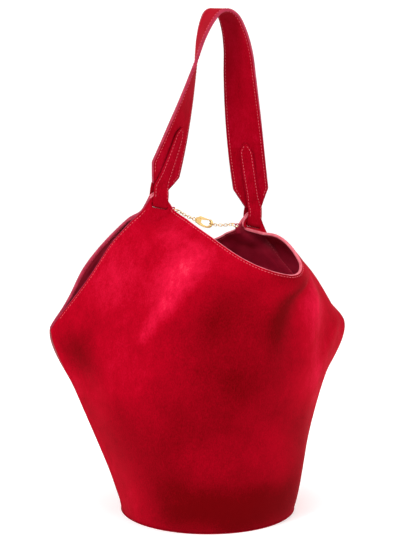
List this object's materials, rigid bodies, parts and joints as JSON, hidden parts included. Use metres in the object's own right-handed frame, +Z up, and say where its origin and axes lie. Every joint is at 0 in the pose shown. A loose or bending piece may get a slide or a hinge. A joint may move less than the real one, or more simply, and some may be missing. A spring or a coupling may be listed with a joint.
{
  "type": "bucket bag",
  "caption": "Tall suede bucket bag with an oval base, flared corners, a twisted shoulder strap looped through its ears and a short chain with a lobster clasp.",
  "frame": {"origin": "centre of the bottom of the bag's box, on the surface that it stands on", "axes": "+Z up, +X towards the right corner, -Y towards the front panel"},
  "size_m": [0.3378, 0.2226, 0.5718],
  "materials": {
    "suede": "matte",
    "lining": "satin",
    "board": "matte",
    "gold_metal": "polished"
  },
  "bodies": {
    "bag": {"front_panel": "suede", "back_panel": "suede", "front_lining": "lining", "back_lining": "lining", "base_panel": "suede", "base_board": "board", "base_lining": "lining", "front_anchor_tab": "lining", "back_anchor_tab": "lining", "front_anchor_ring": "gold_metal", "back_anchor_ring": "gold_metal"},
    "handle": {"strap_outer": "suede", "strap_lining": "suede", "front_tongue": "suede", "back_tongue": "suede"},
    "chain": {"clasp_body": "gold_metal", "clasp_lever_pin": "gold_metal", "clasp_eye": "gold_metal", "catch_ring": "gold_metal", "front_chain_link_1": "gold_metal", "front_chain_link_2": "gold_metal", "front_chain_link_3": "gold_metal", "front_chain_link_4": "gold_metal", "front_chain_link_5": "gold_metal", "front_chain_link_6": "gold_metal", "back_chain_link_1": "gold_metal", "back_chain_link_2": "gold_metal", "back_chain_link_3": "gold_metal", "back_chain_link_4": "gold_metal", "back_chain_link_5": "gold_metal", "back_chain_link_6": "gold_metal", "back_chain_link_7": "gold_metal"},
    "clasp_gate": {"clasp_lever": "gold_metal"}
  },
  "joints": [
    {"name": "handle_swing", "type": "hinge", "parent": "bag", "child": "handle", "pos_m": [0.00847, 0, 0.359], "axis": [0.8575, 0.4698, -0.2099], "range_deg": [-70, 70], "deforming": ["front_tongue", "back_tongue"]},
    {"name": "chain_swing", "type": "hinge", "parent": "bag", "child": "chain", "pos_m": [0.00625, -0.00015, 0.33875], "axis": [0.8501, 0.4641, -0.249], "range_deg": [-20, 20]},
    {"name": "clasp_gate_turn", "type": "hinge", "parent": "chain", "child": "clasp_gate", "pos_m": [-0.00007, -0.00359, 0.33826], "axis": [0.4792, -0.8777, 0], "range_deg": [-14, 0], "stiffness_Nm_per_rad": 0.0003, "springref_deg": 5.73}
  ]
}
